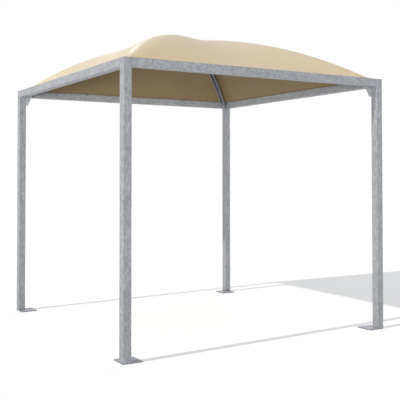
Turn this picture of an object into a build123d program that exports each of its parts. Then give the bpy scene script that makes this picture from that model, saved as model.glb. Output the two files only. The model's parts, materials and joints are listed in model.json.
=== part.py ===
"""Square garden gazebo: a galvanised box-section frame with a stretched fabric canopy.

Millimetres, +Z up. The origin is on the ground at the middle of the plan, +X runs along the front
beam from the left to the right, and +Y runs from the front to the back.
"""

from build123d import *
from math import asin, cos, degrees, radians, sin, sqrt
import os

# Frame
plan_size = 3000.0
frame_height = 2620.0
section_width = 80.0
section_wall = 4.0
section_inner_radius = 2.0
cap_thickness = 4.0

# Base plates
plate_size = 190.0
plate_thickness = 10.0
plate_corner_radius = 4.0
anchor_diameter = 14.0
anchor_edge_distance = 45.0

# Canopy
canopy_rise = 502.0
canopy_middle_drop = 130.0
canopy_thickness = 3.0
hem_width = 45.0
seam_gap = 0.4
clamp_width = 30.0
clamp_thickness = 4.0
clamp_edge_distance = 5.0
clamp_end_gap = 10.0

# Arch rails: lipped channels that stand over the plan's diagonals, open side down
rail_width = 56.0
rail_depth = 36.0
rail_wall = 3.0
rail_edge_chamfer = 1.5
rail_slot = 28.0
rail_end_setback = 150.0
rail_end_drop = 54.0

# Crown hub
hub_width = 76.0
hub_flange_diameter = 210.0
hub_flange_thickness = 6.0
hub_edge_chamfer = 3.0

# Arch brackets: upright plates on the diagonals, between the posts and the rails
bracket_thickness = 8.0
bracket_drop = 100.0
bracket_tip_width = 21.0
bracket_knee_distance = 64.0
bracket_knee_height = 107.0
bracket_edge_radius = 150.0
bracket_top_drop = 12.0
bracket_insertion = 80.0
bracket_tongue_depth = 26.0

# Clearances
seat_gap = 0.3
canopy_gap = 2.0

# Places that follow from the sizes above
half_plan = plan_size / 2
inner_half = half_plan - section_width
section_centre = half_plan - section_width / 2
section_radius = section_inner_radius + section_wall
beam_length = 2 * inner_half
beam_underside = frame_height - section_width
post_height = frame_height - plate_thickness - cap_thickness
inner_diagonal = inner_half * sqrt(2)
hub_reach = hub_width / sqrt(2)
flange_radius = hub_flange_diameter / 2

# Each panel's profile is two arcs: one from the crown, where it is level, to half-way down, and a
# flatter one from there to the hem over the beam's inner edge.
hem_bottom = frame_height + seat_gap
hem_top = hem_bottom + canopy_thickness
crown_top = frame_height + canopy_rise
crown_underside = crown_top - canopy_thickness
canopy_middle = inner_half / 2
crown_radius = (canopy_middle**2 + canopy_middle_drop**2) / (2 * canopy_middle_drop)
crown_centre = crown_underside - crown_radius

# The hub and the rails' ends lie just under the canopy, which falls a little from crown to hub edge.
hub_top = crown_centre + sqrt(crown_radius**2 - hub_reach**2) - canopy_gap

# The rails' lower edges are arcs about one point on the gazebo's upright axis.
rail_crown = hub_top - rail_depth
rail_half_span = inner_diagonal - rail_end_setback
rail_rise = rail_crown - (frame_height - rail_end_drop)
rail_radius = (rail_half_span**2 + rail_rise**2) / (2 * rail_rise)
rail_centre = rail_crown - rail_radius
rail_angle = degrees(asin(rail_half_span / rail_radius))

corners = {
    "front_left": (-1, -1),
    "front_right": (1, -1),
    "back_left": (-1, 1),
    "back_right": (1, 1),
}
sides = {"front": (0, -1), "back": (0, 1), "left": (-1, 0), "right": (1, 0)}

os.makedirs("parts", exist_ok=True)


def save(piece, name):
    """Label a finished piece and write it to its own file."""
    piece.part.label = name
    export_step(piece.part, f"parts/{name}.step")


def diagonal_plane(x_sign, y_sign):
    """The upright plane over a diagonal: x from the post's inner corner to the middle, y up."""
    inward = Vector(-x_sign, -y_sign, 0).normalized()
    corner = (x_sign * inner_half, y_sign * inner_half, 0)
    return Plane(origin=corner, x_dir=inward, z_dir=inward.cross(Vector(0, 0, 1)))


def section_plane(x_sign, y_sign):
    """The upright plane across a rail at the crown, with its origin at the centre of the rails' arcs."""
    outward = Vector(x_sign, y_sign, 0).normalized()
    across = Vector(0, 0, 1).cross(outward)
    return Plane(origin=(0, 0, rail_centre), x_dir=across, z_dir=outward)


def panel_plane(x_sign, y_sign):
    """The upright plane through the middle of a canopy panel: x outwards, y up."""
    outward = Vector(x_sign, y_sign, 0)
    return Plane(origin=(0, 0, 0), x_dir=outward, z_dir=outward.cross(Vector(0, 0, 1)))


def on_arch(radius, angle):
    """A point in a diagonal plane, at an angle from the crown about the centre of the rails' arcs."""
    turn = radians(angle)
    return (inner_diagonal - radius * sin(turn), rail_centre + radius * cos(turn))


# Posts, their caps and their base plates
anchor_far = plate_size - anchor_edge_distance
anchor_near = section_width / 2
anchor_places = [(anchor_far, anchor_near), (anchor_near, anchor_far), (anchor_far, anchor_far)]

for corner, (x_sign, y_sign) in corners.items():
    post_centre = (x_sign * section_centre, y_sign * section_centre)
    hollow_width = section_width - 2 * section_wall

    with BuildPart() as post:
        with BuildSketch(Plane.XY.offset(plate_thickness)):
            with Locations(post_centre):
                RectangleRounded(section_width, section_width, section_radius)
                RectangleRounded(hollow_width, hollow_width, section_inner_radius, mode=Mode.SUBTRACT)
        extrude(amount=post_height)
    save(post, f"{corner}_post")

    with BuildPart() as cap:
        with BuildSketch(Plane.XY.offset(frame_height - cap_thickness)):
            with Locations(post_centre):
                RectangleRounded(section_width, section_width, section_radius)
        extrude(amount=cap_thickness)
    save(cap, f"{corner}_post_cap")

    plate_centre = half_plan - plate_size / 2
    with BuildPart() as base_plate:
        with BuildSketch():
            with Locations((x_sign * plate_centre, y_sign * plate_centre)):
                RectangleRounded(plate_size, plate_size, plate_corner_radius)
            with Locations([(x_sign * (half_plan - x), y_sign * (half_plan - y)) for x, y in anchor_places]):
                Circle(anchor_diameter / 2, mode=Mode.SUBTRACT)
        extrude(amount=plate_thickness)
    save(base_plate, f"{corner}_base_plate")

# Beams between the posts, flush with their outer faces and tops
for side, (x_sign, y_sign) in sides.items():
    hollow_width = section_width - 2 * section_wall
    with BuildPart() as beam:
        with BuildSketch(panel_plane(x_sign, y_sign)):
            with Locations((section_centre, frame_height - section_width / 2)):
                RectangleRounded(section_width, section_width, section_radius)
                RectangleRounded(hollow_width, hollow_width, section_inner_radius, mode=Mode.SUBTRACT)
        extrude(amount=beam_length / 2, both=True)
    save(beam, f"{side}_beam")

# Arch rails, from the brackets to the hub
for corner, (x_sign, y_sign) in corners.items():
    crown_plane = section_plane(x_sign, y_sign)
    with BuildPart() as rail:
        with BuildSketch(crown_plane) as section:
            with Locations((0, rail_radius + rail_depth / 2)):
                Rectangle(rail_width, rail_depth)
                chamfer(section.vertices(), rail_edge_chamfer)
                Rectangle(rail_width - 2 * rail_wall, rail_depth - 2 * rail_wall, mode=Mode.SUBTRACT)
            with Locations((0, rail_radius)):
                Rectangle(rail_slot, 4 * rail_wall, mode=Mode.SUBTRACT)
        revolve(axis=Axis(crown_plane.origin, crown_plane.x_dir), revolution_arc=rail_angle)
        split(bisect_by=crown_plane.offset(hub_width / 2 + seat_gap), keep=Keep.TOP)
    save(rail, f"{corner}_arch_rail")

# Crown hub: a square boss between the rails' ends, on a round flange under their lower edges
flange_top = rail_centre + sqrt(rail_radius**2 - flange_radius**2) - seat_gap

with BuildPart() as hub:
    with BuildSketch(Plane.XY.offset(flange_top)):
        Rectangle(hub_width, hub_width, rotation=45)
    extrude(amount=hub_top - flange_top)
    chamfer(hub.edges().group_by(Axis.Z)[-1], hub_edge_chamfer)
    with BuildSketch(Plane.XY.offset(flange_top)):
        Circle(flange_radius)
    extrude(amount=-hub_flange_thickness)
save(hub, "crown_hub")

# Arch brackets: each meets the post's rounded corner below the beams, fits between the beams above
# and carries the rail on a tongue. The inner edge runs up from the tip and bends at a rounded knee.
post_side = seat_gap - section_radius * (sqrt(2) - 1)
beam_side = seat_gap + bracket_thickness / 2
bracket_bottom = beam_underside - bracket_drop
bracket_shoulder = beam_underside - seat_gap
web_radius = rail_radius + rail_depth - rail_wall - seat_gap
tongue_angle = rail_angle - degrees(bracket_insertion / web_radius)
middle_angle = (rail_angle + tongue_angle) / 2

for corner, (x_sign, y_sign) in corners.items():
    with BuildPart() as bracket:
        with BuildSketch(diagonal_plane(x_sign, y_sign)):
            with BuildLine():
                Polyline(
                    on_arch(web_radius, rail_angle),
                    (beam_side, frame_height - bracket_top_drop),
                    (beam_side, bracket_shoulder),
                    (post_side, bracket_shoulder),
                    (post_side, bracket_bottom),
                    (bracket_tip_width, bracket_bottom),
                )
                FilletPolyline(
                    (bracket_tip_width, bracket_bottom),
                    (bracket_knee_distance, bracket_bottom + bracket_knee_height),
                    on_arch(web_radius - bracket_tongue_depth, tongue_angle),
                    radius=bracket_edge_radius,
                )
                Line(
                    on_arch(web_radius - bracket_tongue_depth, tongue_angle),
                    on_arch(web_radius, tongue_angle),
                )
                ThreePointArc(
                    on_arch(web_radius, tongue_angle),
                    on_arch(web_radius, middle_angle),
                    on_arch(web_radius, rail_angle),
                )
            make_face()
        extrude(amount=bracket_thickness / 2, both=True)
    save(bracket, f"{corner}_arch_bracket")

# Canopy panels with their hems, mitred along the ridges, and the bars that clamp the hems
hem_edge = inner_half + hem_width
clamp_place = hem_edge - clamp_edge_distance - clamp_width / 2
clamp_level = hem_top + seat_gap + clamp_thickness / 2

for side, (x_sign, y_sign) in sides.items():
    with BuildPart() as panel:
        with BuildSketch(panel_plane(x_sign, y_sign)):
            with BuildLine():
                for crown, hem in ((crown_underside, hem_bottom), (crown_top, hem_top)):
                    middle = (canopy_middle, crown - canopy_middle_drop)
                    upper = TangentArc((0, crown), middle, tangent=(1, 0))
                    TangentArc(middle, (inner_half, hem), tangent=upper % 1)
                Polyline(
                    (inner_half, hem_bottom),
                    (hem_edge, hem_bottom),
                    (hem_edge, hem_top),
                    (inner_half, hem_top),
                )
                Line((0, crown_top), (0, crown_underside))
            make_face()
        extrude(amount=inner_half - seat_gap, both=True)
        for turn in (-1, 1):
            mitre = Vector(x_sign - turn * y_sign, y_sign + turn * x_sign, 0).normalized()
            split(bisect_by=Plane(origin=mitre * (seam_gap / 2), z_dir=mitre), keep=Keep.TOP)
    save(panel, f"{side}_canopy_panel")

    with BuildPart() as clamp_bar:
        with BuildSketch(panel_plane(x_sign, y_sign)):
            with Locations((clamp_place, clamp_level)):
                Rectangle(clamp_width, clamp_thickness)
        extrude(amount=inner_half - clamp_end_gap, both=True)
    save(clamp_bar, f"{side}_clamp_bar")
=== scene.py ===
"""Looks of a square garden gazebo: a galvanised box-section frame under a stretched canopy."""

from __future__ import annotations

import json
import logging
import math
from dataclasses import dataclass
from enum import Enum
from typing import Callable, Iterable

import bpy
from mathutils import Euler, Matrix, Vector

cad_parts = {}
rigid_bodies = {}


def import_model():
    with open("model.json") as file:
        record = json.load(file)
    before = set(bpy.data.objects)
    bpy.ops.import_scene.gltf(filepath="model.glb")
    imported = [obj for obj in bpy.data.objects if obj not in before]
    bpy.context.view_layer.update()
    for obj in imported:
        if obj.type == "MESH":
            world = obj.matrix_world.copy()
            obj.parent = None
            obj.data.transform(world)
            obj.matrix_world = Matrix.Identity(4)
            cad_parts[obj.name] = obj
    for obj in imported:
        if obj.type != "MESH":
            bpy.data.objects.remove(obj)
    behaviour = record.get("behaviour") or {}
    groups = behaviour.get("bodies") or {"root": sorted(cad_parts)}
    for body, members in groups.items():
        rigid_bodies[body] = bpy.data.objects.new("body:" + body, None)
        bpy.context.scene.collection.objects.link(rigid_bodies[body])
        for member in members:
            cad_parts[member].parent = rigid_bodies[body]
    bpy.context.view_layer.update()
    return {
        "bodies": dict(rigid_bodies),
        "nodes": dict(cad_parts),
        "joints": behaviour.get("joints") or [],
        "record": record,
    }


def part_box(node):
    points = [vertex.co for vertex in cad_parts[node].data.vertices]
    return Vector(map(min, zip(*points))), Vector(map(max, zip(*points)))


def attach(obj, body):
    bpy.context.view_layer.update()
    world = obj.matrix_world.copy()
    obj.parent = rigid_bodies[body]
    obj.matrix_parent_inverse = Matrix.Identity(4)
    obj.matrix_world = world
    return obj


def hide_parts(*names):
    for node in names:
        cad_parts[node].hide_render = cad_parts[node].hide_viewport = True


LOG = logging.getLogger("gazebo")

Colour = tuple[float, float, float, float]
Point = tuple[float, float, float]
Span = tuple[float, float]
Socket = bpy.types.NodeSocket

CORNERS = ("front_left", "front_right", "back_left", "back_right")
SIDES = ("front", "back", "left", "right")
BODY = "root"
WHITE: Colour = (1.0, 1.0, 1.0, 1.0)
X_WAY = Vector((1.0, 0.0, 0.0))
Y_WAY = Vector((0.0, 1.0, 0.0))
Z_WAY = Vector((0.0, 0.0, 1.0))

# Limits for picking parts of a small mesh: a share of its height, then sizes of a direction's Z
TOP_SHARE = 0.9
FACING_UP = 0.99
UPRIGHT = 0.9
LEVEL = 0.5

# Edges that turn by more than this stay sharp
STEEL_EDGE = math.radians(35)
CLOTH_EDGE = math.radians(50)

# Darker, middle and lighter tones of zinc: pale on the base plates as painted light, dull on the
# arches
PLATE_TONES_PAINTED_LIGHT: tuple[Colour, ...] = (
    (0.43, 0.456, 0.51, 1.0),
    (0.53, 0.56, 0.62, 1.0),
    (0.68, 0.71, 0.77, 1.0),
)
DULL_TONES: tuple[Colour, ...] = (
    (0.135, 0.137, 0.142, 1.0),
    (0.17, 0.172, 0.178, 1.0),
    (0.22, 0.223, 0.229, 1.0),
)


class Grain(Enum):
    """The way that the zinc's streaks run on a piece."""

    UPRIGHT = (1.0, 1.0, 0.4)
    ALONG_X = (0.6, 1.0, 1.0)
    ALONG_Y = (1.0, 0.6, 1.0)
    EVEN = (1.0, 1.0, 1.0)
    FLAT = (0.9, 0.9, 1.0)


class NodePad:
    """A new material and the short calls that fill its node tree."""

    def __init__(self, name: str) -> None:
        """Start a material with its shader and output.

        Args:
            name: The material's name.
        """
        self.material = bpy.data.materials.new(name)
        self.material.use_nodes = True
        self.tree = self.material.node_tree
        self.shader = self.tree.nodes["Principled BSDF"]
        self.output = self.tree.nodes["Material Output"]

    def add(
        self, kind: str, settings: dict | None = None, inputs: dict | None = None
    ) -> bpy.types.Node:
        """Add a node.

        Args:
            kind: The node's type.
            settings: Values of the node's own properties.
            inputs: Values of its input sockets, by name.

        Returns:
            The new node.
        """
        node = self.tree.nodes.new(kind)
        for key, value in (settings or {}).items():
            setattr(node, key, value)
        for key, value in (inputs or {}).items():
            node.inputs[key].default_value = value
        return node

    def link(self, source: Socket, target: Socket) -> None:
        """Join an output to an input."""
        self.tree.links.new(source, target)

    def ramp(self, source: Socket, stops: list[tuple[float, Colour]]) -> Socket:
        """Turn a number into a colour.

        Args:
            source: The number.
            stops: Places from 0 to 1 with their colours, in order.

        Returns:
            The colour.
        """
        node = self.add("ShaderNodeValToRGB")
        elements = node.color_ramp.elements
        while len(elements) < len(stops):
            elements.new(1.0)
        for element, (place, colour) in zip(elements, stops):
            element.position = place
            element.color = colour
        self.link(source, node.inputs["Fac"])
        return node.outputs["Color"]

    def spread(self, source: Socket, low: float, high: float) -> Socket:
        """Map a number that runs from 0 to 1 to another range.

        Args:
            source: The number.
            low: What 0 becomes.
            high: What 1 becomes.

        Returns:
            The new number.
        """
        node = self.add("ShaderNodeMapRange", inputs={"To Min": low, "To Max": high})
        self.link(source, node.inputs["Value"])
        return node.outputs["Result"]

    def sum(self, mode: str, first: Socket, second: Socket | float) -> Socket:
        """Work out one number from two.

        Args:
            mode: The Math node's operation.
            first: The first number.
            second: The second number, fixed or from another node.

        Returns:
            The result.
        """
        node = self.add("ShaderNodeMath", {"operation": mode})
        self.link(first, node.inputs[0])
        if isinstance(second, float):
            node.inputs[1].default_value = second
        else:
            self.link(second, node.inputs[1])
        return node.outputs["Value"]

    def tint(self, below: Socket, above: Socket) -> Socket:
        """Multiply one colour by another.

        Args:
            below: The colour.
            above: The tint.

        Returns:
            The tinted colour.
        """
        node = self.add("ShaderNodeMix", {"data_type": "RGBA", "blend_type": "MULTIPLY"})
        node.inputs["Factor"].default_value = 1.0
        colours = [socket for socket in node.inputs if socket.type == "RGBA"]
        self.link(below, colours[0])
        self.link(above, colours[1])
        return next(socket for socket in node.outputs if socket.type == "RGBA")

    def place(self, scale: Point = (1.0, 1.0, 1.0)) -> Socket:
        """Object coordinates, stretched.

        Args:
            scale: The factor along each axis.

        Returns:
            The coordinates.
        """
        coordinates = self.add("ShaderNodeTexCoord")
        mapping = self.add("ShaderNodeMapping", inputs={"Scale": scale})
        self.link(coordinates.outputs["Object"], mapping.inputs["Vector"])
        return mapping.outputs["Vector"]

    def bump(self, height: Socket, depth: float, strength: float = 1.0) -> None:
        """Raise the surface by a height map.

        Args:
            height: The height from 0 to 1.
            depth: The height of 1, in metres.
            strength: How much of it shows.
        """
        node = self.add("ShaderNodeBump", inputs={"Distance": depth, "Strength": strength})
        self.link(height, node.inputs["Height"])
        self.link(node.outputs["Normal"], self.shader.inputs["Normal"])


@dataclass(frozen=True)
class Galvanised:
    """Hot-dip zinc: crystals of uneven brightness, streaks from the bath and a matt skin."""

    name: str = "galvanised"
    dark: Colour = (0.271, 0.278, 0.296, 1.0)
    middle: Colour = (0.343, 0.351, 0.37, 1.0)
    light: Colour = (0.445, 0.453, 0.47, 1.0)
    # Painted shade on the plates' sides, which face away from the sky
    rim: Colour = (0.41, 0.4, 0.385, 1.0)
    # Painted shade: a post grows darker towards the ground
    foot: Colour = (0.9, 0.9, 0.905, 1.0)
    # Painted shade in channels and corners, laid by ambient occlusion
    crevice_shade: Colour = (0.13, 0.13, 0.135, 1.0)
    metal: float = 0.2
    crystals_per_metre: float = 70.0
    streaks_per_metre: float = 75.0
    clouds_per_metre: float = 5.0
    facet_play: float = 0.16
    cloud_play: float = 0.12
    tone_stops: Point = (0.3, 0.5, 0.74)
    roughness: Span = (0.5, 0.68)
    relief: float = 0.0004
    relief_share: float = 0.35
    foot_height: float = 1.3
    crevice_reach: float = 0.03
    crevice_samples: int = 8
    crevice_stops: Span = (0.25, 0.75)
    rim_stops: Span = (0.4, 0.9)

    def material(self, grain: Grain) -> bpy.types.Material:
        """The finish, with its streaks along a piece.

        Args:
            grain: The way that the streaks run.

        Returns:
            The material.
        """
        pad = NodePad(f"{self.name}_{grain.name.lower()}")
        along = pad.place(grain.value)
        crystals = pad.add("ShaderNodeTexVoronoi", inputs={"Scale": self.crystals_per_metre})
        streaks = pad.add(
            "ShaderNodeTexNoise",
            inputs={
                "Scale": self.streaks_per_metre,
                "Detail": 3.0,
                "Roughness": 0.6,
                "Distortion": 0.4,
            },
        )
        clouds = pad.add(
            "ShaderNodeTexNoise", inputs={"Scale": self.clouds_per_metre, "Detail": 4.0}
        )
        for node in (crystals, streaks, clouds):
            pad.link(along, node.inputs["Vector"])
        split = pad.add("ShaderNodeSeparateColor")
        pad.link(crystals.outputs["Color"], split.inputs["Color"])
        facets = split.outputs["Red"]
        play = pad.spread(facets, -self.facet_play, self.facet_play)
        mottle = pad.sum("ADD", play, streaks.outputs["Fac"])
        play = pad.spread(clouds.outputs["Fac"], -self.cloud_play, self.cloud_play)
        mottle = pad.sum("ADD", mottle, play)
        tones = pad.ramp(mottle, list(zip(self.tone_stops, (self.dark, self.middle, self.light))))
        # These tints are painted shade: posts darker at the foot, zinc darker in crevices, plate
        # sides darker
        tints = {
            Grain.UPRIGHT: self.painted_foot_shade,
            Grain.EVEN: self.painted_crevice_shade,
            Grain.FLAT: self.painted_side_shade,
        }
        if grain in tints:
            tones = pad.tint(tones, tints[grain](pad))
        pad.link(tones, pad.shader.inputs["Base Color"])
        pad.link(pad.spread(facets, *self.roughness), pad.shader.inputs["Roughness"])
        pad.shader.inputs["Metallic"].default_value = self.metal
        pad.bump(mottle, self.relief, self.relief_share)
        return pad.material

    def painted_foot_shade(self, pad: NodePad) -> Socket:
        """A tint of painted shade that darkens a post towards the ground.

        Args:
            pad: The material.

        Returns:
            The tint.
        """
        height = pad.add("ShaderNodeSeparateXYZ")
        pad.link(pad.place(), height.inputs["Vector"])
        low = pad.add(
            "ShaderNodeMapRange",
            {"interpolation_type": "SMOOTHSTEP"},
            {"From Max": self.foot_height},
        )
        pad.link(height.outputs["Z"], low.inputs["Value"])
        return pad.ramp(low.outputs["Result"], [(0.0, self.foot), (1.0, WHITE)])

    def painted_crevice_shade(self, pad: NodePad) -> Socket:
        """A tint of painted shade that darkens the zinc inside a channel and in corners.

        Args:
            pad: The material.

        Returns:
            The tint.
        """
        # Ambient occlusion darkens the colour here: painted shade
        room = pad.add(
            "ShaderNodeAmbientOcclusion",
            {"samples": self.crevice_samples},
            {"Distance": self.crevice_reach},
        )
        return pad.ramp(room.outputs["AO"], list(zip(self.crevice_stops, (self.crevice_shade, WHITE))))

    def painted_side_shade(self, pad: NodePad) -> Socket:
        """A tint of painted shade that darkens a plate's sides and leaves its pale top, which is
        painted light, as it is.

        Args:
            pad: The material.

        Returns:
            The tint.
        """
        geometry = pad.add("ShaderNodeNewGeometry")
        facing = pad.add("ShaderNodeSeparateXYZ")
        pad.link(geometry.outputs["Normal"], facing.inputs["Vector"])
        return pad.ramp(facing.outputs["Z"], list(zip(self.rim_stops, (self.rim, WHITE))))


@dataclass(frozen=True)
class CoatedCloth:
    """Coated woven cloth in sand, stretched tight."""

    outside_dark: Colour = (0.72, 0.577, 0.352, 1.0)
    outside_light: Colour = (0.75, 0.609, 0.383, 1.0)
    # Painted shade: the inner face is darker to stand for the shade under the canopy
    inside_dark_painted_shade: Colour = (0.217, 0.156, 0.077, 1.0)
    inside_light_painted_shade: Colour = (0.243, 0.177, 0.09, 1.0)
    outside_roughness: float = 0.32
    inside_roughness: float = 0.7
    roughness_play: float = 0.06
    gloss: float = 0.3
    threads_per_metre: float = 620.0
    thread_play: float = 0.05
    clouds_per_metre: float = 1.6
    tone_stops: Span = (0.3, 0.7)
    relief: float = 0.001
    relief_share: float = 0.6
    thread_relief: float = 0.06
    seam_relief: float = 0.6
    stitch_relief: float = 0.3
    seam_half: float = 0.0175
    seam_edge: float = 0.001
    seam_tint: Colour = (0.955, 0.955, 0.95, 1.0)
    stitch_place: float = 0.0125
    stitch_half: float = 0.0016
    stitches_per_metre: float = 160.0
    stitch_share: float = 0.62
    stitch_tint: Colour = (0.86, 0.85, 0.82, 1.0)

    def ridge_seams(self, pad: NodePad) -> tuple[Socket, Socket]:
        """Lapped seams along the four ridges, each with two rows of stitches.

        Args:
            pad: The material.

        Returns:
            How much of a place is seam, and how much is stitch, from 0 to 1.
        """
        here = pad.add("ShaderNodeSeparateXYZ")
        pad.link(pad.place(), here.inputs["Vector"])
        across = pad.sum("ABSOLUTE", here.outputs["X"], 0.0)
        along = pad.sum("ABSOLUTE", here.outputs["Y"], 0.0)
        off = pad.sum("ABSOLUTE", pad.sum("SUBTRACT", across, along), 0.0)
        row = pad.sum("ABSOLUTE", pad.sum("SUBTRACT", off, self.stitch_place), 0.0)
        bands = []
        for source, half in ((off, self.seam_half), (row, self.stitch_half)):
            edges = {"From Min": half, "From Max": half + self.seam_edge}
            band = pad.add("ShaderNodeMapRange", inputs={**edges, "To Min": 1.0, "To Max": 0.0})
            pad.link(source, band.inputs["Value"])
            bands.append(band.outputs["Result"])
        both = pad.sum("ADD", across, along)
        run = pad.sum("MULTIPLY", both, self.stitches_per_metre / 2)
        dashes = pad.sum("LESS_THAN", pad.sum("FRACT", run, 0.0), self.stitch_share)
        return bands[0], pad.sum("MULTIPLY", bands[1], dashes)

    def material(
        self, name: str, dark: Colour, light: Colour, roughness: float
    ) -> bpy.types.Material:
        """One face of the cloth.

        Args:
            name: The material's name.
            dark: The cloth's darker tone.
            light: The cloth's lighter tone.
            roughness: How matt the coating is.

        Returns:
            The material.
        """
        pad = NodePad(name)
        here = pad.place()
        weave = []
        for direction in ("X", "Y"):
            thread = pad.add(
                "ShaderNodeTexWave",
                {"bands_direction": direction},
                {"Scale": self.threads_per_metre / math.tau, "Distortion": 0.3},
            )
            pad.link(here, thread.inputs["Vector"])
            weave.append(thread.outputs["Fac"])
        cloth = pad.sum("MULTIPLY", weave[0], weave[1])
        clouds = pad.add(
            "ShaderNodeTexNoise", inputs={"Scale": self.clouds_per_metre, "Detail": 5.0}
        )
        pad.link(here, clouds.inputs["Vector"])
        cloudy = clouds.outputs["Fac"]
        tone = pad.sum("ADD", cloudy, pad.spread(cloth, -self.thread_play, self.thread_play))
        seam, stitch = self.ridge_seams(pad)
        tones = pad.ramp(tone, list(zip(self.tone_stops, (dark, light))))
        for share, colour in ((seam, self.seam_tint), (stitch, self.stitch_tint)):
            tones = pad.tint(tones, pad.ramp(share, [(0.0, WHITE), (1.0, colour)]))
        pad.link(tones, pad.shader.inputs["Base Color"])
        matt = pad.spread(cloudy, roughness - self.roughness_play, roughness + self.roughness_play)
        pad.link(matt, pad.shader.inputs["Roughness"])
        height = pad.spread(cloth, 0.0, self.thread_relief)
        for share, rise in ((seam, self.seam_relief), (stitch, self.stitch_relief)):
            height = pad.sum("ADD", height, pad.spread(share, 0.0, rise))
        pad.shader.inputs["Specular IOR Level"].default_value = self.gloss
        pad.bump(height, self.relief, self.relief_share)
        return pad.material

    def outside(self) -> bpy.types.Material:
        """The coated outer face."""
        return self.material(
            "canopy_outside", self.outside_dark, self.outside_light, self.outside_roughness
        )

    def inside(self) -> bpy.types.Material:
        """The inner face, darkened as painted shade."""
        return self.material(
            "canopy_inside_painted_shade", self.inside_dark_painted_shade, self.inside_light_painted_shade, self.inside_roughness
        )


@dataclass(frozen=True)
class BrightZinc:
    """Plated bolts and screws: brighter and smoother than the dipped steel."""

    dark: Colour = (0.42, 0.43, 0.45, 1.0)
    light: Colour = (0.62, 0.63, 0.64, 1.0)
    metal: float = 0.8
    specks_per_metre: float = 400.0
    tone_stops: Span = (0.35, 0.65)
    roughness: Span = (0.28, 0.45)
    relief: float = 0.0001
    relief_share: float = 0.3

    def material(self) -> bpy.types.Material:
        """The plating, with fine specks.

        Returns:
            The material.
        """
        pad = NodePad("bright_zinc")
        noise = pad.add(
            "ShaderNodeTexNoise", inputs={"Scale": self.specks_per_metre, "Detail": 3.0}
        )
        pad.link(pad.place(), noise.inputs["Vector"])
        specks = noise.outputs["Fac"]
        tones = pad.ramp(specks, list(zip(self.tone_stops, (self.dark, self.light))))
        pad.link(tones, pad.shader.inputs["Base Color"])
        pad.link(pad.spread(specks, *self.roughness), pad.shader.inputs["Roughness"])
        pad.shader.inputs["Metallic"].default_value = self.metal
        pad.bump(specks, self.relief, self.relief_share)
        return pad.material


def deselect() -> None:
    """Leave object mode's selection empty."""
    if bpy.context.object and bpy.context.object.mode != "OBJECT":
        bpy.ops.object.mode_set(mode="OBJECT")
    bpy.ops.object.select_all(action="DESELECT")


def choose(piece: bpy.types.Object) -> None:
    """Select one piece alone and make it active.

    Args:
        piece: The piece.
    """
    deselect()
    piece.select_set(True)
    bpy.context.view_layer.objects.active = piece


def apply_all(piece: bpy.types.Object) -> None:
    """Apply a piece's modifiers in order.

    Args:
        piece: The piece.
    """
    choose(piece)
    for modifier in list(piece.modifiers):
        bpy.ops.object.modifier_apply(modifier=modifier.name)


def pick(piece: bpy.types.Object, kind: str, test: Callable[[Vector, Vector], bool]) -> None:
    """Enter edit mode with some of a piece's parts selected.

    Args:
        piece: The piece.
        kind: VERT, EDGE or FACE.
        test: Says whether a part is wanted, from its place and its direction. A vertex or a face
            points along its normal, and an edge along its line.
    """
    choose(piece)
    mesh = piece.data
    for part in (*mesh.vertices, *mesh.edges, *mesh.polygons):
        part.select = False
    if kind == "VERT":
        for vertex in mesh.vertices:
            vertex.select = test(vertex.co, vertex.normal)
    elif kind == "EDGE":
        for edge in mesh.edges:
            first, second = (mesh.vertices[index].co for index in edge.vertices)
            edge.select = test((first + second) / 2, (second - first).normalized())
    else:
        for face in mesh.polygons:
            face.select = test(face.center, face.normal)
    bpy.ops.object.mode_set(mode="EDIT")
    bpy.ops.mesh.select_mode(type=kind)


def copy_at(source: bpy.types.Object, place: Matrix) -> bpy.types.Object:
    """Copy a piece, mesh and all, to a place.

    Args:
        source: The piece, modelled about the origin.
        place: Where the copy goes.

    Returns:
        The copy, with its place in its mesh.
    """
    copy = source.copy()
    copy.data = source.data.copy()
    bpy.context.scene.collection.objects.link(copy)
    copy.data.transform(place)
    copy.data.update()
    return copy


def gather(name: str, pieces: list[bpy.types.Object], material: bpy.types.Material) -> None:
    """Join steel copies into one piece that rides on the frame.

    Args:
        name: The piece's name.
        pieces: The copies.
        material: Their finish.
    """
    deselect()
    for piece in pieces:
        piece.select_set(True)
    bpy.context.view_layer.objects.active = pieces[0]
    bpy.ops.object.join()
    piece = bpy.context.object
    piece.name = name
    piece.data.name = name
    piece.data.materials.clear()
    piece.data.materials.append(material)
    bpy.ops.object.shade_smooth_by_angle(angle=STEEL_EDGE)
    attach(piece, BODY)
    LOG.info("%s: %d faces", name, len(piece.data.polygons))


def upright_to(way: Vector, place: Vector) -> Matrix:
    """A place whose Z axis points along a direction.

    Args:
        way: The direction.
        place: The origin.

    Returns:
        The matrix.
    """
    return Matrix.Translation(place) @ way.to_track_quat("Z", "Y").to_matrix().to_4x4()


def corner_signs(corner: str) -> tuple[float, float]:
    """The signs of X and Y at a corner, from its name."""
    return (1.0 if "right" in corner else -1.0, 1.0 if "back" in corner else -1.0)


def dress(node: str, material: bpy.types.Material, frame: dict) -> None:
    """Give a CAD node a material.

    Args:
        node: The node's name.
        material: What it gets in all its slots.
    """
    piece = frame["nodes"][node]
    if not piece.material_slots:
        piece.data.materials.append(material)
    for slot in piece.material_slots:
        slot.material = material


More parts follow.
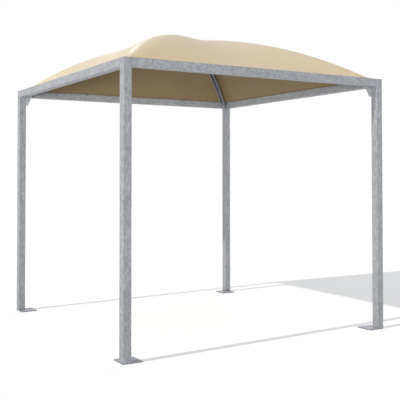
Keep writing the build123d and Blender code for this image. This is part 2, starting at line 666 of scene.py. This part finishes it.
@dataclass
class SteelFrame:
    """Posts, plates, beams, arches, hub and clamp bars, which keep their CAD shapes."""

    zinc: dict[Grain, bpy.types.Material]
    pale: bpy.types.Material
    dull: bpy.types.Material

    def build(self, frame: dict) -> None:
        """Dress every steel node with the streaks along its length.
        """
        zinc = self.zinc
        for corner in CORNERS:
            dress(f"{corner}_post", zinc[Grain.UPRIGHT], frame)
            dress(f"{corner}_base_plate", self.pale, frame)
            dress(f"{corner}_arch_rail", self.dull, frame)
            for part in ("post_cap", "arch_bracket"):
                dress(f"{corner}_{part}", zinc[Grain.EVEN], frame)
        for side in SIDES:
            grain = Grain.ALONG_X if side in ("front", "back") else Grain.ALONG_Y
            dress(f"{side}_beam", zinc[grain], frame)
            dress(f"{side}_clamp_bar", zinc[grain], frame)
        dress("crown_hub", self.dull, frame)
        LOG.info("dressed the steel nodes")


@dataclass
class Canopy:
    """One stretched sheet: four sagging panels between rounded ridges, with folded hems."""

    cloth: CoatedCloth
    half_span: float
    frame_top: float
    rise: float = 0.4995
    sag: float = 0.073
    ridge_share: float = 0.376
    crest_share: float = 0.5
    trough_share: float = 0.03
    edge_lift: float = 0.0018
    cells: int = 128
    thickness: float = 0.0011
    vault_stretch: float = 1.12
    flat_area: float = 9.9
    hem: tuple[Span, ...] = (
        (0.004, 0.0024),
        (0.009, 0.0027),
        (0.026, 0.0027),
        (0.0420, 0.0027),
        (0.0435, 0.0025),
        (0.0442, 0.0018),
        (0.0435, 0.0011),
        (0.0420, 0.0009),
        (0.026, 0.0009),
        (0.009, 0.0009),
    )

    def soft(self, share: float) -> float:
        """The size of a share of the half span, with a soft turn at zero."""
        turn = self.trough_share
        return (math.hypot(share, turn) - turn) / (math.hypot(1.0, turn) - turn)

    def height(self, x: float, y: float) -> float:
        """How high the cloth stands over its edge.

        Args:
            x: The place along X, as a share of the half span.
            y: The place along Y, as a share of the half span.

        Returns:
            The height in metres.
        """
        across, along = self.soft(x), self.soft(y)
        middle = (across + along) / 2
        off = abs(across - along) / 2
        band = self.ridge_share * math.sqrt(max(0.0, (1 - across**2) * (1 - along**2)))
        reach = middle + off * (math.tanh(off / band) if band else 1.0)
        crest = off * (math.tanh(off / (band * self.crest_share)) if band else 1.0)
        ridge = (middle - crest) / (middle + crest) if middle else 1.0
        return self.rise * (1 - reach**2) - 4 * self.sag * reach * (1 - reach) * (1 - ridge**2)

    def sheet(self) -> bpy.types.Object:
        """The sheet as one mesh: the vault's grid and a folded hem along each side.

        Returns:
            The sheet's object, still without thickness.
        """
        count = self.cells + 1
        level = self.frame_top + self.edge_lift
        shares = [2 * step / self.cells - 1 for step in range(count)]
        points: list[Point] = []
        for y in shares:
            for x in shares:
                points.append((x * self.half_span, y * self.half_span, level + self.height(x, y)))
        faces: list[tuple[int, ...]] = []
        for row in range(self.cells):
            for column in range(self.cells):
                first = row * count + column
                ring = (first, first + 1, first + count + 1, first + count)
                if row == column:
                    faces += [(ring[0], ring[1], ring[2]), (ring[0], ring[2], ring[3])]
                elif row + column == self.cells - 1:
                    faces += [(ring[0], ring[1], ring[3]), (ring[1], ring[2], ring[3])]
                else:
                    faces.append(ring)
        last = count * (count - 1)
        edges = {
            (0, -1): list(range(count)),
            (1, 0): list(range(count - 1, count * count, count)),
            (0, 1): list(range(last, count * count))[::-1],
            (-1, 0): list(range(0, count * count, count))[::-1],
        }
        for (x_way, y_way), edge in edges.items():
            inner = edge
            for out, lift in self.hem:
                start = len(points)
                for index in edge:
                    x, y, _ = points[index]
                    points.append((x + x_way * out, y + y_way * out, self.frame_top + lift))
                outer = list(range(start, start + count))
                for step in range(count - 1):
                    faces.append((inner[step + 1], inner[step], outer[step], outer[step + 1]))
                inner = outer
        mesh = bpy.data.meshes.new("canopy")
        mesh.from_pydata(points, [], faces)
        piece = bpy.data.objects.new("canopy", mesh)
        bpy.context.scene.collection.objects.link(piece)
        return piece

    def build(self) -> None:
        piece = self.sheet()
        piece.data.materials.append(self.cloth.outside())
        piece.data.materials.append(self.cloth.inside())
        wall = piece.modifiers.new("wall", "SOLIDIFY")
        wall.thickness = self.thickness
        wall.offset = 0.0
        wall.material_offset = 1
        wall.material_offset_rim = 0
        apply_all(piece)
        bpy.ops.object.shade_smooth_by_angle(angle=CLOTH_EDGE)
        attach(piece, BODY)
        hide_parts(*(f"{side}_canopy_panel" for side in SIDES))
        LOG.info("canopy: %d faces", len(piece.data.polygons))


@dataclass
class ClampScrews:
    """Screws along the bars that hold the canopy's hems on the beams."""

    material: bpy.types.Material
    head_radius: float = 0.0068
    head_height: float = 0.0042
    head_sides: int = 24
    dome_share: float = 0.5
    socket_rim: float = 0.12
    socket_depth: float = 0.0022
    pitch: float = 0.29
    count: int = 10

    def screw(self) -> bpy.types.Object:
        """Model one domed head with a socket, standing on the origin.

        Returns:
            The screw head.
        """
        deselect()
        bpy.ops.mesh.primitive_cylinder_add(
            vertices=self.head_sides, radius=self.head_radius, depth=self.head_height
        )
        head = bpy.context.object
        head.data.transform(Matrix.Translation((0.0, 0.0, self.head_height / 2)))
        top = self.head_height * TOP_SHARE
        pick(head, "EDGE", lambda place, way: place.z > top and abs(way.z) < LEVEL)
        bpy.ops.mesh.bevel(offset=self.head_height * self.dome_share, segments=3, affect="EDGES")
        bpy.ops.object.mode_set(mode="OBJECT")
        pick(head, "FACE", lambda place, way: place.z > top and way.z > FACING_UP)
        bpy.ops.mesh.inset(thickness=self.head_radius * self.socket_rim)
        bpy.ops.mesh.extrude_region_move(
            TRANSFORM_OT_translate={"value": (0.0, 0.0, -self.socket_depth)}
        )
        bpy.ops.object.mode_set(mode="OBJECT")
        return head

    def build(self) -> None:
        """Set a row of screws on each bar."""
        screw = self.screw()
        for side in SIDES:
            low, high = (Vector(corner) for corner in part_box(f"{side}_clamp_bar"))
            middle = (low + high) / 2
            along = X_WAY if side in ("front", "back") else Y_WAY
            copies = []
            for step in range(self.count):
                place = middle + along * (step - (self.count - 1) / 2) * self.pitch
                copies.append(copy_at(screw, Matrix.Translation((place.x, place.y, high.z))))
            gather(f"{side}_clamp_screws", copies, self.material)
        bpy.data.objects.remove(screw)


@dataclass
class ArchBolts:
    """Bolts through the arch rails' ends and under the crown hub."""

    material: bpy.types.Material
    half_span: float
    frame_top: float
    head_radius: float = 0.0098
    head_height: float = 0.0066
    crown_rim: float = 0.1
    crown_share: float = 0.12
    edge_share: float = 0.05
    washer_radius: float = 0.0108
    washer_height: float = 0.002
    washer_sides: int = 24
    washer_bevel: float = 0.3
    rail_depth: float = 0.036
    rail_half_width: float = 0.028
    end_setback: float = 0.150
    end_drop: float = 0.054
    end_distances: tuple[float, ...] = (0.024, 0.056)
    hub_bolt_radius: float = 0.076

    def bolt(self) -> bpy.types.Object:
        """Model one hexagon head on its washer, standing on the origin.

        Returns:
            The bolt head.
        """
        deselect()
        bpy.ops.mesh.primitive_cylinder_add(
            vertices=self.washer_sides, radius=self.washer_radius, depth=self.washer_height
        )
        washer = bpy.context.object
        washer.data.transform(Matrix.Translation((0.0, 0.0, self.washer_height / 2)))
        rim = self.washer_height * TOP_SHARE
        pick(washer, "EDGE", lambda place, way: place.z > rim and abs(way.z) < LEVEL)
        bpy.ops.mesh.bevel(
            offset=self.washer_height * self.washer_bevel, segments=2, affect="EDGES"
        )
        deselect()
        bpy.ops.mesh.primitive_cylinder_add(
            vertices=6, radius=self.head_radius, depth=self.head_height
        )
        head = bpy.context.object
        middle = self.washer_height + self.head_height / 2
        head.data.transform(Matrix.Translation((0.0, 0.0, middle)))
        pick(head, "FACE", lambda place, way: place.z > middle and way.z > FACING_UP)
        bpy.ops.mesh.inset(thickness=self.head_radius * self.crown_rim)
        bpy.ops.transform.translate(value=(0.0, 0.0, self.head_height * self.crown_share))
        bpy.ops.object.mode_set(mode="OBJECT")
        pick(head, "EDGE", lambda place, way: abs(way.z) > UPRIGHT)
        bpy.ops.mesh.bevel(offset=self.head_radius * self.edge_share, segments=2, affect="EDGES")
        deselect()
        washer.select_set(True)
        head.select_set(True)
        bpy.context.view_layer.objects.active = head
        bpy.ops.object.join()
        return bpy.context.object

    def rail_places(self, corner: str) -> list[tuple[Vector, Vector]]:
        """Where the bolts stand at one rail's end, on both its sides.

        Args:
            corner: The corner's name.

        Returns:
            Each bolt's place and the way that it points.
        """
        crown = float(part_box("crown_hub")[1][2]) - self.rail_depth
        reach = self.half_span * math.sqrt(2.0) - self.end_setback
        rise = crown - (self.frame_top - self.end_drop)
        radius = (reach**2 + rise**2) / (2 * rise)
        x_sign, y_sign = corner_signs(corner)
        outward = Vector((x_sign, y_sign, 0.0)).normalized()
        across = Vector((-outward.y, outward.x, 0.0))
        places = []
        for distance in self.end_distances:
            angle = math.asin(reach / radius) - distance / radius
            middle = radius + self.rail_depth / 2
            place = outward * middle * math.sin(angle)
            place.z = crown - radius + middle * math.cos(angle)
            for way in (across, -across):
                places.append((place + way * self.rail_half_width, way))
        return places

    def build(self) -> None:
        """Set the bolts at each rail's end and under the hub."""
        bolt = self.bolt()
        for corner in CORNERS:
            places = self.rail_places(corner)
            copies = [copy_at(bolt, upright_to(way, place)) for place, way in places]
            gather(f"{corner}_rail_bolts", copies, self.material)
        flange = Z_WAY * float(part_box("crown_hub")[0][2])
        copies = []
        for corner in CORNERS:
            outward = Vector((*corner_signs(corner), 0.0)).normalized()
            place = outward * self.hub_bolt_radius + flange
            copies.append(copy_at(bolt, upright_to(-Z_WAY, place)))
        gather("hub_bolts", copies, self.material)
        bpy.data.objects.remove(bolt)


@dataclass
class WeldBeads:
    """Fillet welds at the posts' feet and along the arch brackets."""

    material: bpy.types.Material
    half_span: float
    frame_top: float
    section: float = 0.080
    plate_top: float = 0.010
    foot_radius: float = 0.0045
    bracket_radius: float = 0.0036
    bead_sides: int = 12
    ripples: int = 17
    ripple_swell: float = 1.14
    end_zone: float = 0.49
    end_share: float = 0.6
    end_gap: float = 0.001
    below_beam: float = 0.098
    below_top: float = 0.016
    at_post: Span = (-0.0032, 0.0048)
    at_beams: Span = (0.0055, 0.0052)

    def bead(self) -> bpy.types.Object:
        """Model one rippled bead of length 1 and radius 1 along Z, about the origin.

        Returns:
            The bead.
        """
        deselect()
        bpy.ops.mesh.primitive_cylinder_add(vertices=self.bead_sides, radius=1.0, depth=1.0)
        bead = bpy.context.object
        pick(bead, "EDGE", lambda place, way: abs(way.z) > UPRIGHT)
        bpy.ops.mesh.subdivide(number_cuts=self.ripples)
        bpy.ops.object.mode_set(mode="OBJECT")
        step = 1.0 / (self.ripples + 1)
        pick(bead, "VERT", lambda place, way: round((place.z + 0.5) / step) % 2 == 1)
        self.swell(self.ripple_swell)
        pick(bead, "VERT", lambda place, way: abs(place.z) > self.end_zone)
        self.swell(self.end_share)
        return bead

    @staticmethod
    def swell(factor: float) -> None:
        """Widen the picked rings about the Z axis, and leave edit mode."""
        bpy.ops.transform.resize(value=(factor, factor, 1.0), center_override=(0.0, 0.0, 0.0))
        bpy.ops.object.mode_set(mode="OBJECT")

    def runs(self, corner: str) -> list[tuple[Vector, Vector, float, float]]:
        """The welds at one corner.

        Args:
            corner: The corner's name.

        Returns:
            Each bead's middle, direction, length and radius.
        """
        x_sign, y_sign = corner_signs(corner)
        inner = Vector((x_sign, y_sign, 0.0)) * self.half_span
        foot = inner + Z_WAY * self.plate_top
        length = self.section - 2 * self.foot_radius
        runs = []
        for sign, way in ((y_sign, Y_WAY), (x_sign, X_WAY)):
            middle = foot + way * (sign * self.section / 2)
            runs.append((middle, way, length, self.foot_radius))
        inward = -Vector((x_sign, y_sign, 0.0)).normalized()
        across = Vector((-inward.y, inward.x, 0.0))
        underside = self.frame_top - self.section
        spans = (
            (underside - self.below_beam, underside - self.end_gap, *self.at_post),
            (underside + self.end_gap, self.frame_top - self.below_top, *self.at_beams),
        )
        for low, high, out, off in spans:
            for side in (-off, off):
                middle = inner + inward * out + across * side + Z_WAY * ((low + high) / 2)
                runs.append((middle, Z_WAY, high - low, self.bracket_radius))
        return runs

    def build(self) -> None:
        """Lay the beads at each corner."""
        bead = self.bead()
        for corner in CORNERS:
            copies = []
            for middle, way, length, radius in self.runs(corner):
                size = Matrix.Diagonal((radius, radius, length, 1.0))
                copies.append(copy_at(bead, upright_to(way, middle) @ size))
            gather(f"{corner}_welds", copies, self.material)
        bpy.data.objects.remove(bead)


@dataclass(frozen=True)
class Lamp:
    """A far lamp: the way its light runs, its angle in degrees, and whether gloss shows it."""

    name: str
    way: Point
    strength: float
    angle: float
    colour: Point = (1.0, 1.0, 1.0)
    glints: bool = False

    def hang(self) -> None:
        """Put the lamp in the scene."""
        data = bpy.data.lights.new(self.name, "SUN")
        data.energy = self.strength
        data.angle = math.radians(self.angle)
        data.color = self.colour
        lamp = bpy.data.objects.new(self.name, data)
        lamp.rotation_euler = Vector(self.way).to_track_quat("-Z", "Y").to_euler()
        lamp.visible_glossy = self.glints
        bpy.context.scene.collection.objects.link(lamp)


@dataclass
class Studio:
    """Plain pale floor, low sun from the left, three fill lamps, soft sky and the camera."""

    camera_place: Point = (-4.1787, -7.2392, 1.5928)
    camera_turn: Point = (91.35, 0.0, -29.97)
    lens: float = 66.77
    sensor: float = 36.0
    shift: Span = (0.0311, -0.1023)
    sight: float = 300.0
    lamps: tuple[Lamp, ...] = (
        Lamp("sun", (0.845, 0.074, -0.530), 2.0, 0.9, (1.0, 0.97, 0.92)),
        Lamp("bounce", (0.65, 0.75, 0.12), 2.27, 10.0, (0.95, 0.98, 1.0)),
        Lamp("back_light", (-0.72, -0.60, -0.35), 0.7, 40.0),
        Lamp("rim_light", (-0.28, -0.83, -0.48), 0.042, 7.0, (0.62, 0.8, 1.0), True),
    )
    sky_colour: Colour = (0.95, 0.975, 1.0, 1.0)
    sky_strength: float = 0.25
    floor_radius: float = 60.0
    floor_sides: int = 96
    floor_drop: float = 0.0005
    floor_colour: Colour = (0.97, 0.985, 1.0, 1.0)
    floor_bounce: Colour = (0.9, 0.915, 0.94, 1.0)
    floor_glow: float = 0.4

    def camera(self) -> None:
        """Put the camera where it sees the gazebo as in the photograph."""
        data = bpy.data.cameras.new("camera")
        data.sensor_width = self.sensor
        data.lens = self.lens
        data.shift_x, data.shift_y = self.shift
        data.clip_end = self.sight
        camera = bpy.data.objects.new("camera", data)
        camera.location = self.camera_place
        camera.rotation_euler = Euler([math.radians(turn) for turn in self.camera_turn])
        bpy.context.scene.collection.objects.link(camera)
        bpy.context.scene.camera = camera

    @staticmethod
    def seen(tree: bpy.types.NodeTree) -> Socket:
        """Find the rays that show a background: straight, mirrored or through glass.

        Args:
            tree: The node tree that gets the test.

        Returns:
            1 for such a ray, or 0.
        """
        path = tree.nodes.new("ShaderNodeLightPath")
        found = path.outputs["Is Camera Ray"]
        for name in ("Is Glossy Ray", "Is Transmission Ray"):
            node = tree.nodes.new("ShaderNodeMath")
            node.operation = "MAXIMUM"
            tree.links.new(found, node.inputs[0])
            tree.links.new(path.outputs[name], node.inputs[1])
            found = node.outputs["Value"]
        return found

    def sky(self) -> None:
        """Light the scene with a soft sky that looks white."""
        world = bpy.data.worlds.new("sky")
        bpy.context.scene.world = world
        world.use_nodes = True
        tree = world.node_tree
        tree.nodes.clear()
        mix = tree.nodes.new("ShaderNodeMixShader")
        output = tree.nodes.new("ShaderNodeOutputWorld")
        tree.links.new(self.seen(tree), mix.inputs[0])
        skies = ((self.sky_colour, self.sky_strength), (WHITE, 1.0))
        for place, (colour, strength) in enumerate(skies, start=1):
            node = tree.nodes.new("ShaderNodeBackground")
            node.inputs["Color"].default_value = colour
            node.inputs["Strength"].default_value = strength
            tree.links.new(node.outputs[0], mix.inputs[place])
        tree.links.new(mix.outputs[0], output.inputs["Surface"])

    def floor(self) -> None:
        """Lay a pale floor that looks white and keeps the shadow."""
        deselect()
        bpy.ops.mesh.primitive_circle_add(
            vertices=self.floor_sides,
            radius=self.floor_radius,
            fill_type="NGON",
            location=(0.0, 0.0, -self.floor_drop),
        )
        floor = bpy.context.object
        floor.name = "floor"
        pad = NodePad("pale_floor")
        pad.tree.nodes.remove(pad.shader)
        bounce = pad.add("ShaderNodeBsdfDiffuse", inputs={"Color": self.floor_bounce})
        pale = pad.add("ShaderNodeBsdfDiffuse", inputs={"Color": self.floor_colour})
        glow = pad.add("ShaderNodeEmission", inputs={"Color": WHITE, "Strength": self.floor_glow})
        both = pad.add("ShaderNodeAddShader")
        mix = pad.add("ShaderNodeMixShader")
        pad.link(pale.outputs[0], both.inputs[0])
        pad.link(glow.outputs[0], both.inputs[1])
        pad.link(self.seen(pad.tree), mix.inputs[0])
        pad.link(bounce.outputs[0], mix.inputs[1])
        pad.link(both.outputs[0], mix.inputs[2])
        pad.link(mix.outputs[0], pad.output.inputs["Surface"])
        floor.data.materials.append(pad.material)
        floor.visible_shadow = False

    def build(self) -> None:
        """Set the stage, the light and the camera."""
        self.floor()
        self.sky()
        for lamp in self.lamps:
            lamp.hang()
        self.camera()
        bpy.context.scene.view_settings.view_transform = "Standard"
        LOG.info("set the stage")


def main() -> None:
    """Build the gazebo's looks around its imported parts."""
    logging.basicConfig(level=logging.INFO)
    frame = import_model()
    deselect()
    _, beam_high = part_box("front_beam")
    half_span, frame_top = -float(beam_high[1]), float(beam_high[2])
    streaked = (Grain.UPRIGHT, Grain.ALONG_X, Grain.ALONG_Y, Grain.EVEN)
    zinc = {grain: Galvanised().material(grain) for grain in streaked}
    # The base plates' pale tones are painted light on their tops
    pale = Galvanised("pale_zinc_painted_light", *PLATE_TONES_PAINTED_LIGHT).material(Grain.FLAT)
    dull = Galvanised("dull_zinc", *DULL_TONES).material(Grain.EVEN)
    bright = BrightZinc().material()
    SteelFrame(zinc, pale, dull).build(frame)
    Canopy(CoatedCloth(), half_span, frame_top).build()
    ClampScrews(bright).build()
    ArchBolts(dull, half_span, frame_top).build()
    WeldBeads(zinc[Grain.EVEN], half_span, frame_top).build()
    Studio().build()


if __name__ == "__main__":
    main()
